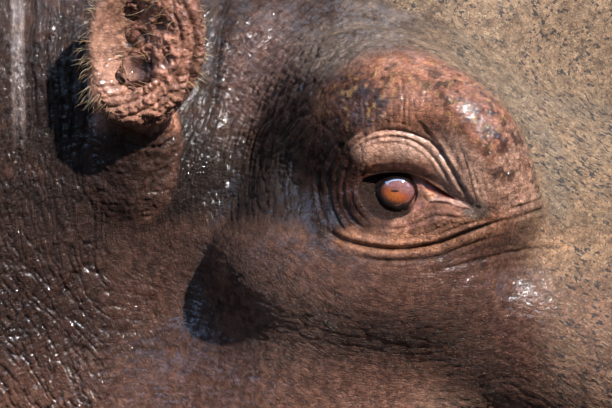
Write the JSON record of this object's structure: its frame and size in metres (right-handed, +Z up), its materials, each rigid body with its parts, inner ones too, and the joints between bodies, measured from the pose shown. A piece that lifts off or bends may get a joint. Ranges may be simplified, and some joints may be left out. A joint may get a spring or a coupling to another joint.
{
  "type": "hippopotamus",
  "caption": "Life-size hippopotamus standing on all fours with its head held level, barrel body, short legs, cupped ears and eyes raised on brow domes.",
  "frame": {"origin": "on the floor, under the middle of the animal's bounding box", "axes": "+X towards the muzzle, +Y towards the animal's left side, +Z up"},
  "size_m": [3.3432, 1.1045, 1.453],
  "materials": {
    "hide": "satin",
    "eyeball": "gloss",
    "toenail": "satin",
    "bristle": "satin"
  },
  "bodies": {
    "root": {"head": "hide", "lower_jaw": "hide", "neck": "hide", "trunk": "hide", "tail": "hide", "ear_left": "hide", "ear_right": "hide", "leg_front_left": "hide", "leg_front_right": "hide", "leg_hind_left": "hide", "leg_hind_right": "hide", "foot_front_left": "hide", "foot_front_right": "hide", "foot_hind_left": "hide", "foot_hind_right": "hide", "eye_left": "eyeball", "eye_right": "eyeball", "nail_front_left_1": "toenail", "nail_front_left_2": "toenail", "nail_front_left_3": "toenail", "nail_front_left_4": "toenail", "nail_front_right_1": "toenail", "nail_front_right_2": "toenail", "nail_front_right_3": "toenail", "nail_front_right_4": "toenail", "nail_hind_left_1": "toenail", "nail_hind_left_2": "toenail", "nail_hind_left_3": "toenail", "nail_hind_left_4": "toenail", "nail_hind_right_1": "toenail", "nail_hind_right_2": "toenail", "nail_hind_right_3": "toenail", "nail_hind_right_4": "toenail"}
  },
  "joints": []
}
